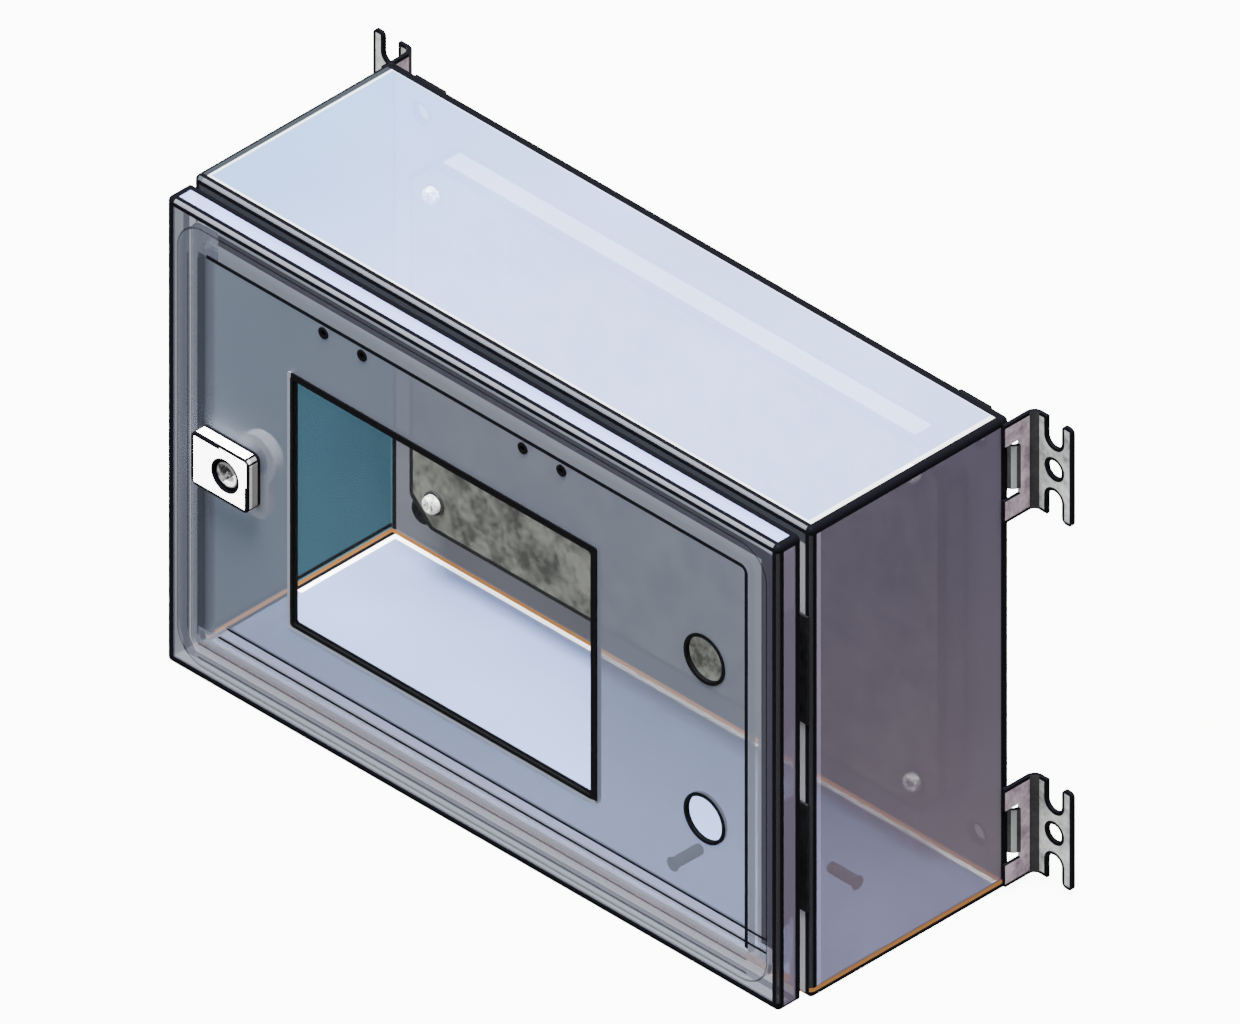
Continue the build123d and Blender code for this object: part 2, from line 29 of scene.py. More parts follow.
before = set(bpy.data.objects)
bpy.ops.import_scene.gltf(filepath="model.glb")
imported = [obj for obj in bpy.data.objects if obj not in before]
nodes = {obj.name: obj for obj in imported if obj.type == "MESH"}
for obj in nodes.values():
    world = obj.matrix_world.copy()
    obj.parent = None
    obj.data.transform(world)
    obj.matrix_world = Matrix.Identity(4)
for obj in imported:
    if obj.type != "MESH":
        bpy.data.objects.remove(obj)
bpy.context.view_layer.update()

MM = 0.001

# Places read off the frame
shell_low, shell_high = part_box("body_shell")
rear_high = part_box("rear_panel")[1]
door_low, door_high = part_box("door_panel")
seal_low, seal_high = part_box("door_gasket")
plate_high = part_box("mounting_plate")[1]
lock_low, lock_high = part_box("lock_housing")
arm_low, arm_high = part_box("bracket_top_right")
pane_low, pane_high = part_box("window_pane")
body_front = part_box("upper_hinge_body_leaf")[1].y
middle_height = shell_high.z / 2
lock_middle = (lock_low.x + lock_high.x) / 2
core_low, core_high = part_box("lock_core")
core_middle = (core_low.x + core_high.x) / 2
arm_middle = (arm_low.z + arm_high.z) / 2 - middle_height

# View
CAMERA_AZIMUTH = radians(45.0)
CAMERA_ELEVATION = radians(35.264)
CAMERA_DISTANCE = 3.0
CAMERA_WIDTH = 851.607 * MM
CAMERA_AIM = Vector((-5.8, 32.35, 197.7)) * MM

# Light
SKY_STRENGTH = 1.0
BACKDROP_STRENGTH = 12.0
BACKDROP_THROUGH_SHEET = 0.8
TOP_SUN_STRENGTH = 30.0
FRONT_SUN_STRENGTH = 3.0
SUN_WIDTH = radians(40.0)
SUN_DISTANCE = 5.0
TOP_SUN_AZIMUTH = radians(20.0)
TOP_SUN_ELEVATION = radians(84.0)
FRONT_SUN_AZIMUTH = radians(-20.0)
FRONT_SUN_ELEVATION = radians(15.0)
BACKDROP_TINT = (1.0, 1.0, 0.985)
FLOOR_HALF = 20.0
FLOOR_GAP = 0.5 * MM
FLOOR_GLOW = 9.0

# Colours of the sheet by the way that it faces, which are painted light and shade: the top faces painted
# light, the right and outer faces painted dark, the inside faces, folds and gap in their own painted shades,
# painted highlight bands beside the lines, the seal's painted shade and shadow on the door, and the orange
# base line with its painted glow
BLACK = (0.0, 0.0, 0.0)
INK = (0.002, 0.002, 0.003)
ROOF_LIT_TINT = (0.405, 0.485, 0.89)
ROOF_LIT_TINT_LEFT = (0.23, 0.395, 0.755)
ROOF_PAINTED_HIGHLIGHT = (1.0, 1.0, 1.0)
ROOF_FRONT_FOLD_SHADING = (0.080, 0.083, 0.100)
ROOF_LEFT_FOLD_SHADING = (0.035, 0.042, 0.050)
RIGHT_SHADE_TINT = (0.062, 0.052, 0.076)
RIGHT_SHADE_TINT_LOW = (0.082, 0.068, 0.088)
RIGHT_PAINTED_HIGHLIGHT = (0.14, 0.12, 0.175)
RIGHT_FRONT_FOLD_SHADING = (0.014, 0.014, 0.016)
LEFT_INSIDE_TINT = (0.030, 0.088, 0.128)
BASE_INSIDE_TINT = (0.122, 0.158, 0.295)
BACK_INSIDE_TINT = (0.070, 0.073, 0.090)
RIM_TINT = (0.085, 0.095, 0.125)
GUTTER_SHADE = (0.018, 0.020, 0.026)
GUTTER_SHADE_RIGHT = (0.12, 0.12, 0.13)
DOOR_TINT = (0.066, 0.074, 0.096)
DOOR_FOOT_PAINTED_LIGHT = (0.125, 0.13, 0.165)
DOOR_FRONT_FOLD_SHADING = (0.085, 0.088, 0.105)
DOOR_RIGHT_SHADE_TINT = (0.085, 0.072, 0.105)
DOOR_TOP_LIT_TINT = (0.24, 0.29, 0.57)
SEAL_TINT = (0.16, 0.175, 0.205)
SEAL_SHADE = (0.006, 0.006, 0.008)
SEAL_BAND_TINT = (0.090, 0.099, 0.121)
SEAL_SHADOW_TINT = (0.020, 0.024, 0.032)
SEAL_SHADE_BAND_TINT = (0.022, 0.022, 0.030)
BASE_LINE = (0.05, 0.02, 0.004)
BASE_LINE_GLOW = (0.34, 0.15, 0.045)
BASE_LINE_FRONT_GLOW = (2.0, 0.80, 0.12)
BASE_STRIP_GLOW = (1.0, 0.40, 0.08)

# Colours of the plate, the brackets and the small pieces, darker then lighter; the bracket sides, bends and
# neck, the plate's top face, the window lip, the lock housing and the core carry painted shade, painted
# highlights and a painted glow
PLATE_DARK = (0.024, 0.025, 0.023)
PLATE_LIGHT = (0.088, 0.091, 0.084)
PLATE_FLANGE_HIGHLIGHT = (0.125, 0.133, 0.145)
ARM_DARK = (0.095, 0.098, 0.098)
ARM_LIGHT = (0.33, 0.335, 0.335)
UPRIGHT_SHADE_DARK = (0.115, 0.085, 0.105)
UPRIGHT_SHADE_LIGHT = (0.32, 0.265, 0.30)
BEND_SHADE_DARK = (0.016, 0.016, 0.017)
BEND_SHADE_LIGHT = (0.026, 0.026, 0.027)
NECK_HIGHLIGHT_TINT = (0.15, 0.155, 0.155)
RUBBER_DARK = (0.001, 0.001, 0.0015)
RUBBER_LIGHT = (0.004, 0.004, 0.0045)
LIP_HIGHLIGHT_TINT = (0.11, 0.12, 0.145)
PANE_TINT_LOW = (0.90, 0.94, 0.98)
PANE_TINT_HIGH = (0.97, 0.98, 1.0)
MOULDING_TINT = (0.93, 0.93, 0.92)
MOULDING_SHADED_SIDE = (0.12, 0.115, 0.12)
MOULDING_FRONT_HIGHLIGHT = (0.34, 0.335, 0.33)
MOULDING_LIGHT = (1.0, 1.0, 0.99)
CORE_DARK = (0.02, 0.02, 0.02)
CORE_LIGHT = (0.20, 0.20, 0.20)
CRESCENT_HIGHLIGHT = (0.9, 0.9, 0.9)
FASTENER_DARK = (0.02, 0.02, 0.019)
FASTENER_LIGHT = (0.97, 0.97, 0.96)
SPACER_DARK = (0.066, 0.069, 0.087)
SPACER_LIGHT = (0.082, 0.086, 0.108)
WASHER_DARK = (0.004, 0.004, 0.0045)
WASHER_LIGHT = (0.03, 0.03, 0.03)
CAM_DARK = (0.17, 0.18, 0.20)
CAM_LIGHT = (0.24, 0.25, 0.28)
STUD_DARK = (0.006, 0.006, 0.009)
STUD_LIGHT = (0.02, 0.02, 0.026)
HINGE_DARK = (0.003, 0.003, 0.0035)
HINGE_LIGHT = (0.008, 0.008, 0.009)
PIN_DARK = (0.002, 0.002, 0.003)
PIN_LIGHT = (0.008, 0.008, 0.010)
FLOOR_DARK = (0.28, 0.28, 0.275)
FLOOR_LIGHT = (0.30, 0.30, 0.295)

# Patterns: noise scales, their shares and their limits
BODY_CLOUDS = 5.0
BODY_CLOUD_DEPTH = 0.5
DOOR_CLOUDS = 6.0
DOOR_CLOUD_DEPTH = 0.2
SEAL_CLOUDS = 20.0
SEAL_CLOUD_DEPTH = 0.3
COAT_GRAIN = 60.0
RUBBER_GRAIN = 400.0
PANE_SMEAR_SCALE = 12.0
PANE_LEAST_SMEAR = 0.6
PANE_SMEAR_SPREAD = 0.8
GRAINS_A_PATCH = 6.0
PATCH_SHARE = 0.75
MOTTLE_LOW = 0.36
MOTTLE_HIGH = 0.64
ARM_TONE_SCALE = 60.0
PLATE_TONE_SCALE = 40.0
PLATE_GRAIN_SCALE = 160.0
PLATE_PATCH_SHARE = 0.85
PLATE_TONE_LOW = 0.38
PLATE_TONE_HIGH = 0.62
MOULDING_GRAIN = 300.0
MOULDING_GLOW = 6.0
CORE_TONE_SCALE = 220.0
CORE_TONE_LOW = 0.4
CORE_TONE_HIGH = 0.6
CRESCENT_MIDDLE = 0.62
CRESCENT_HALF = 0.18
CORE_RIM_START = 0.88
FLOOR_CLOUDS = 1.5

# Roughness, and how far it varies with the pattern
BODY_ROUGHNESS = 0.38
BODY_ROUGH_SPREAD = 0.12
DOOR_ROUGHNESS = 0.36
DOOR_ROUGH_SPREAD = 0.14
FOAM_ROUGHNESS = 0.8
PANE_ROUGHNESS = 0.05
RUBBER_ROUGHNESS = 0.6
RUBBER_ROUGH_SPREAD = 0.2
ZINC_ROUGHNESS = 0.42
ZINC_ROUGH_SPREAD = 0.25
MOULDING_ROUGHNESS = 0.35
CORE_ROUGHNESS = 0.45
CORE_ROUGH_SPREAD = 0.2
FLOOR_ROUGHNESS = 0.9
ZINC_BUMP = 0.1
ZINC_RELIEF = 0.1 * MM
PLATE_RELIEF = 0.2 * MM
MOULDING_BUMP = 0.05
MOULDING_RELIEF = 0.05 * MM

# How squarely a face looks along an axis, from 0 to 1
FLAT = 0.99
SQUARE_ON = 0.9
MOSTLY = 0.5
PARTLY = 0.3
SLIGHTLY = 0.2
BARELY_FRONT = 0.06
BARELY = 0.05
BENT_AT_ALL = 0.02
BEND_START = 0.0008
BEND_FULL = 0.004
NECK_LIT_FACING = 0.62
NECK_LIT_REACH = 0.2
CORNER_TOP_FACING = 0.35
CORNER_TOP_REACH = 0.16
CORNER_SIDE_FACING = 0.93
CORNER_SIDE_REACH = 0.05

# How much each sheet hides, at its outer face alone
ROOF_COVER = 0.36
RIGHT_COVER = 0.92
SOLID_COVER = 0.97
RIM_COVER = 0.50
RIM_FOOT_COVER = 0.15
GUTTER_COVER = 0.90
DOOR_COVER = 0.84
DOOR_RIGHT_COVER = 0.86
DOOR_EDGE_COVER = 0.60
DOOR_FOOT_COVER = 0.60
SEAL_COVER = 0.12
PANE_COVER = 0.003

FOLD_COVER = 0.9
ROOF_FOLD_COVER = 0.75
BAND_COVER = 0.8
SEAL_SHADE_BAND_COVER = 0.95
SEAL_SHADE_COVER = 0.9
STRIP_COVER_LESS = 0.3
BACK_BAND_SHARE = 0.4
OUTER_LINE_COVER = 0.75
SIDE_LINE_COVER = 0.7
FOOT_LINE_COVER = 0.85
PLATE_INK = 0.95

# Where the painted light and shade fade, and where the base's inner edges stop showing in the window
ROOF_FADE_START = -360.0 * MM
ROOF_FADE_END = -20.0 * MM
RIGHT_FADE_LOW = 50.0 * MM
RIGHT_FADE_HIGH = 360.0 * MM
SHADOW_FULL = 0.3
SHADOW_END = 0.9
SEEN_FRONT = 6.0 * MM
SEEN_LEFT = -98.0 * MM

# Widths that the inked lines and the painted highlight bands beside them have
SHEET = 1.5 * MM
SKIN = 0.75 * MM
FOLD = 4.0 * MM
HALF_LINE = 1.6 * MM
THIN_HALF_LINE = 0.7 * MM
GUTTER_HALF_LINE = 0.98 * MM
GUTTER_MITRE = 0.8
LIP_EDGE = 0.1 * MM
CUT_LINE = 2.6 * MM
LIGHT_BAND = 2.0 * MM
BASE_LINE_LOW = 1.3 * MM
BASE_LINE_MIDDLE = 2.05 * MM
BASE_LINE_HALF = 0.75 * MM
SILHOUETTE_LINE = 4.5 * MM
RIM_ZONE = 42.0 * MM
RIM_RETURN = 9.5 * MM
SEAL_WIDTH = 19.7 * MM
SEAL_CORNER = 25.0 * MM
SEAL_INNER_CORNER = 5.3 * MM
SEAL_OUTER_BAND = 5.0 * MM
PLATE_FOLD = 4.5 * MM
PLATE_CORNER_CUT = 25.0 * MM
WALL_HOLE_INSET = 30.0 * MM
WALL_HOLE_RADIUS = 7.0 * MM
ARM_THICKNESS = 3.0 * MM
ARM_HOLE_INSET = 17.3 * MM
ARM_SLOT_RADIUS = 7.25 * MM
ARM_SLOT_START = 25.65 * MM
CORE_RADIUS = 11.0 * MM
COAT_GLOSS = 0.01
OUTER_SKIN = 1.2 * MM
FOOT_LINE_LOW = 20.5 * MM
FOOT_LINE_HIGH = 31.8 * MM
GUTTER_LINE_LOW = 47.0 * MM
GUTTER_LINE_HIGH = 58.0 * MM

# Threads of the earth studs
STUD_RADIUS = 4.0 * MM
THREAD_START = 1.2 * MM
THREAD_PITCH = 1.25 * MM
THREAD_DEPTH = 0.45 * MM
THREAD_SINK = 0.15 * MM
THREAD_HALF_BASE = 0.55 * MM
THREAD_TURNS = 16
THREAD_STEPS = 28


class Signal:
    """A number in a finish that Python arithmetic can work on."""

    def __init__(self, finish, socket):
        self.finish = finish
        self.socket = socket

    def maths(self, operation, *values):
        return self.finish.number(operation, *values)

    def __add__(self, other):
        return self.maths("ADD", self, other)

    __radd__ = __add__

    def __sub__(self, other):
        return self.maths("SUBTRACT", self, other)

    def __rsub__(self, other):
        return self.maths("SUBTRACT", other, self)

    def __mul__(self, other):
        return self.maths("MULTIPLY", self, other)

    __rmul__ = __mul__

    def __gt__(self, other):
        return self.maths("GREATER_THAN", self, other)

    def __lt__(self, other):
        return self.maths("LESS_THAN", self, other)

    def __abs__(self):
        return self.maths("ABSOLUTE", self)

    def highest(self, *others):
        """The largest of several, which also joins masks."""
        result = self
        for other in others:
            result = self.maths("MAXIMUM", result, other)
        return result

    def lowest(self, other):
        return self.maths("MINIMUM", self, other)

    def root(self):
        return self.maths("SQRT", self)

    def near(self, place, reach):
        """1 within a reach of a place."""
        return abs(self - place) < reach

    def step(self, low, high):
        """0 below low, 1 above high and a straight ramp between."""
        settings = {"clamp": True}
        sockets = {"Value": self, "From Min": low, "From Max": high}
        return self.finish.node("ShaderNodeMapRange", settings, sockets, "Result")


class Finish:
    """A node-based finish, named after what it covers."""

    def __init__(self, name, roughness=0.5):
        self.material = bpy.data.materials.new(name)
        self.material.use_nodes = True
        self.tree = self.material.node_tree
        self.shader = self.tree.nodes["Principled BSDF"]
        self.shader.inputs["Roughness"].default_value = roughness

    def put(self, target, value):
        """Link or set one input socket."""
        if isinstance(value, Signal):
            self.tree.links.new(value.socket, target)
        elif isinstance(value, bpy.types.NodeSocket):
            self.tree.links.new(value, target)
        elif isinstance(value, tuple) and len(value) == 3 and target.type == "RGBA":
            target.default_value = (*value, 1.0)
        else:
            target.default_value = value

    def node(self, kind, settings, sockets, output):
        """Add a node: its settings first, then its inputs; gives one output."""
        made = self.tree.nodes.new(kind)
        for key, value in settings.items():
            setattr(made, key, value)
        for key, value in sockets.items():
            self.put(made.inputs[key], value)
        return Signal(self, made.outputs[output])

    def number(self, operation, *values):
        return self.node("ShaderNodeMath", {"operation": operation}, dict(enumerate(values)), 0)

    def mix(self, mask, first, second):
        """Colour that goes from first to second as the mask goes from 0 to 1."""
        sockets = {0: mask, 6: first, 7: second}
        return self.node("ShaderNodeMix", {"data_type": "RGBA"}, sockets, 2)

    def axes(self, output):
        """The three parts of one vector output of Texture Coordinate."""
        vector = self.node("ShaderNodeTexCoord", {}, {}, output)
        return [self.node("ShaderNodeSeparateXYZ", {}, {0: vector}, axis) for axis in "XYZ"]

    def place(self):
        return self.axes("Object")

    def facing(self):
        """How squarely the sheet faces along each axis, from 0 to 1."""
        return [abs(part) for part in self.axes("Normal")]

    def folds(self):
        """1 where the sheet is bent round, 0 where it is flat."""
        across, along, upward = self.facing()
        return (1.0 - across.highest(along, upward)).step(BEND_START, BEND_FULL)

    def outside_frame(self, across, upward, half_x, half_z, radius):
        """Distance beyond a rounded rectangle, below zero inside it."""
        over_x = abs(across) - (half_x - radius)
        over_z = abs(upward) - (half_z - radius)
        near_x = over_x.highest(0.0)
        near_z = over_z.highest(0.0)
        return (near_x * near_x + near_z * near_z).root() + over_x.highest(over_z).lowest(0.0) - radius

    def shade(self, tint, scale, depth):
        """A tint made a little lighter and darker in clouds."""
        factor = 1.0 + depth * (self.noise(scale, 2.0) - 0.5)
        return self.node("ShaderNodeVectorMath", {"operation": "SCALE"}, {0: tint, "Scale": factor}, 0)

    def noise(self, scale, detail=3.0, roughness=0.55):
        """Cloudy pattern round one half, as large as 1 / scale metres."""
        here = self.node("ShaderNodeTexCoord", {}, {}, "Object")
        sockets = {"Vector": here, "Scale": scale, "Detail": detail, "Roughness": roughness}
        return self.node("ShaderNodeTexNoise", {}, sockets, 0)

    def mottle(self, scale):
        """Zinc's tone from 0 to 1, and the patches that it is made of."""
        patches = self.noise(scale, detail=5.0, roughness=0.62)
        grains = self.noise(scale * GRAINS_A_PATCH, detail=2.0)
        tone = patches * PATCH_SHARE + grains * (1.0 - PATCH_SHARE)
        return tone.step(MOTTLE_LOW, MOTTLE_HIGH), patches

    def bump(self, height, strength, distance):
        sockets = {"Height": height, "Strength": strength, "Distance": distance}
        relief = self.node("ShaderNodeBump", {}, sockets, 0)
        self.put(self.shader.inputs["Normal"], relief)

    def colour(self, value):
        self.put(self.shader.inputs["Base Color"], value)

    def cover(self, value):
        self.put(self.shader.inputs["Alpha"], value)

    def rough(self, value):
        self.put(self.shader.inputs["Roughness"], value)

    def gloss(self, level):
        self.shader.inputs["Specular IOR Level"].default_value = level

    def glow(self, value, strength):
        self.put(self.shader.inputs["Emission Color"], value)
        self.shader.inputs["Emission Strength"].default_value = strength


def body_coat():
    """Tinted see-through coat of the body, inked along its folds and edges, with light and shade painted into
    its tint face by face, painted highlight bands and a glowing orange base line.
    """
    finish = Finish("body coat")
    finish.gloss(COAT_GLOSS)
    x, y, z = finish.place()
    along = finish.facing()[1]
    side, top, back = shell_high.x, shell_high.z, rear_high.y
    roof = z > top - SHEET - SKIN
    base = z < SHEET + SKIN
    right = x > side - SHEET - SKIN
    left = x < SHEET + SKIN - side
    rear = y > back - SHEET - SKIN
    rim = y < body_front + SHEET + SKIN
    by_top = z > top - FOLD
    by_base = z < FOLD
    by_right = x > side - FOLD
    by_left = x < FOLD - side
    by_front = y < body_front + FOLD
    by_back = y > back - FOLD
    beyond = (x < SKIN - side).highest(y > back - SKIN, z < SKIN)

    # Painted light and shade, face by face: the roof painted light, bluer and darker towards the left; the
    # base, back and left inside faces each painted in their own shade; the right wall and the outer faces of
    # the left, back and base painted dark, lighter towards the bottom.
    roof_lit_tint = finish.mix(x.step(ROOF_FADE_START, ROOF_FADE_END), ROOF_LIT_TINT_LEFT, ROOF_LIT_TINT)
    tint = finish.mix(roof, RIM_TINT, roof_lit_tint)
    tint = finish.mix(base, tint, BASE_INSIDE_TINT)
    tint = finish.mix(rear, tint, BACK_INSIDE_TINT)
    tint = finish.mix(left, tint, LEFT_INSIDE_TINT)
    right_shade_tint = finish.mix(z.step(RIGHT_FADE_LOW, RIGHT_FADE_HIGH), RIGHT_SHADE_TINT_LOW, RIGHT_SHADE_TINT)
    tint = finish.mix(right.highest(beyond), tint, right_shade_tint)
    # Painted shade on the rim's front-facing gutter in the gap behind the door, lighter towards the right
    # side.
    gutter_right = (x > side - RIM_ZONE / 2) * (z < top - RIM_ZONE / 3)
    gutter_shade = finish.mix(gutter_right, GUTTER_SHADE, GUTTER_SHADE_RIGHT)
    tint = finish.mix(rim * (along > SQUARE_ON), tint, gutter_shade)
    tint = finish.shade(tint, BODY_CLOUDS, BODY_CLOUD_DEPTH)
    inner_front = body_front + FOLD + HALF_LINE
    rim_end_place = shell_low.y + RIM_RETURN - THIN_HALF_LINE
    # Painted highlight bands on the roof beside its front, right, back and left lines, and on the right wall
    # beside its front line.
    lit_front = y.near(inner_front + LIGHT_BAND / 2, LIGHT_BAND / 2)
    lit_back = y.near(back - FOLD - HALF_LINE - LIGHT_BAND, LIGHT_BAND)
    lit_right = x.near(side - FOLD - HALF_LINE - LIGHT_BAND, LIGHT_BAND)
    tint = finish.mix(roof * lit_front.highest(lit_right, lit_back * BACK_BAND_SHARE), tint, ROOF_PAINTED_HIGHLIGHT)
    tint = finish.mix(right * y.near(inner_front + LIGHT_BAND, LIGHT_BAND), tint, RIGHT_PAINTED_HIGHLIGHT)
    # Painted shading on the rounded folds: the roof's front and left folds and the right wall's front fold.
    tint = finish.mix(by_top * by_front, tint, ROOF_FRONT_FOLD_SHADING)
    tint = finish.mix(roof * (x < 2 * FOLD - side), tint, ROOF_LEFT_FOLD_SHADING)
    lit_left = x.near(2 * FOLD + LIGHT_BAND / 2 - side, LIGHT_BAND / 2) * (1.0 - by_front)
    tint = finish.mix(roof * lit_left, tint, ROOF_PAINTED_HIGHLIGHT)
    front_right_fold = by_right * by_front
    tint = finish.mix(front_right_fold, tint, RIGHT_FRONT_FOLD_SHADING)

    bottom_rim = (z < RIM_ZONE) * (abs(x) < side - RIM_ZONE / 2)
    cover = RIM_COVER + (RIM_FOOT_COVER - RIM_COVER) * bottom_rim
    cover = cover + (ROOF_COVER - RIM_COVER) * roof
    cover = cover.highest(RIGHT_COVER * right * (1.0 - roof))
    outer_skin = (side - abs(x)).lowest(z).lowest(top - z).lowest(y - body_front)
    cover = cover * (outer_skin < OUTER_SKIN)
    cover = cover.highest(SOLID_COVER * left.highest(rear, base) * (1.0 - rim))
    gutter = rim * (along > SQUARE_ON) * (z > top - RIM_ZONE / 2).highest(x > side - RIM_ZONE / 2)
    cover = cover.highest(FOLD_COVER * front_right_fold, ROOF_FOLD_COVER * by_top * by_front)
    cover = cover.highest(GUTTER_COVER * gutter)

    left_edge = x + side
    back_edge = back - y
    line_front = y.near(body_front + FOLD, HALF_LINE) * (1.0 - base)
    line_top = z.near(top - FOLD, HALF_LINE)
    line_right = x.near(side - FOLD, HALF_LINE)
    line_back = y > back - FOLD - SILHOUETTE_LINE
    line_left = x.near(FOLD - side, HALF_LINE) * (1.0 - by_top)
    line_base = z.near(FOLD + HALF_LINE, HALF_LINE) * left
    floor_line = base * left_edge.near(FOLD + HALF_LINE, HALF_LINE)
    # Painted highlight bands along the base's inner left and back edges.
    base_highlight = base * left_edge.near(FOLD + 2 * HALF_LINE + LIGHT_BAND, LIGHT_BAND)
    rear_highlight = base * back_edge.near(FOLD + LIGHT_BAND, LIGHT_BAND) * (x > 2 * FOLD - side)
    base_highlight = base_highlight.highest(rear_highlight)
    tint = finish.mix(base_highlight * (y > SEEN_FRONT), tint, ROOF_PAINTED_HIGHLIGHT)
    above_foot = 1.0 - bottom_rim
    clear_of_folds = above_foot * (1.0 - by_top.highest(by_right, by_left))
    rim_end = clear_of_folds * y.near(rim_end_place, THIN_HALF_LINE)
    line_back = line_back * (1.0 - rear.highest(left, base))
    edges = line_front.highest(line_top, line_right, line_back, line_left, line_base, floor_line)
    black_folds = (by_top * by_right).highest(by_top * by_back, by_right * by_back, by_left * by_front)
    outer_fold = (left_edge + back_edge) < FOLD + SKIN / 4
    black_folds = black_folds.highest((x < FOLD - side) * by_top, by_left * by_back * beyond, outer_fold)
    rim_folds = clear_of_folds * rim * finish.folds() * (along > SLIGHTLY)
    hole_x = abs(x) - (side - WALL_HOLE_INSET)
    hole_z = abs(z - middle_height) - (middle_height - WALL_HOLE_INSET)
    hole_reach = (hole_x * hole_x + hole_z * hole_z).root()
    rings = rear * (hole_reach < WALL_HOLE_RADIUS + CUT_LINE)
    foot = ((z < BASE_LINE_LOW) * finish.folds()).highest(right * (z < FOLD + HALF_LINE))
    ink = edges.highest(black_folds, rim_folds, rings, foot, by_base * by_back * beyond, rim_end)
    base_line = finish.folds() * z.near(BASE_LINE_MIDDLE, BASE_LINE_HALF)
    base_line = base_line * (1.0 - right.highest(by_right * by_front))
    base_strip = base * y.near(body_front + FOLD + SHEET, FOLD) * (1.0 - beyond)
    outer_line = right * z.near(2 * FOLD - THIN_HALF_LINE, HALF_LINE)
    base_line = base_line.highest(base_strip, outer_line)

    finish.colour(finish.mix(base_line, finish.mix(ink, tint, INK), BASE_LINE))
    finish.cover(cover.highest(ink, base_line))
    finish.rough(BODY_ROUGHNESS + BODY_ROUGH_SPREAD * finish.noise(COAT_GRAIN))
    # Painted glow: the orange base line is lit from within, brighter where it lies behind the door and on the
    # strip under the rim.
    behind_door = (y < SEEN_FRONT).highest(x > SEEN_LEFT) * (1.0 - right.highest(beyond))
    line_glow = finish.mix(behind_door, BASE_LINE_GLOW, BASE_LINE_FRONT_GLOW)
    line_glow = finish.mix(base_strip, line_glow, BASE_STRIP_GLOW)
    finish.glow(finish.mix(base_line, BLACK, line_glow), 1.0)
    return finish.material


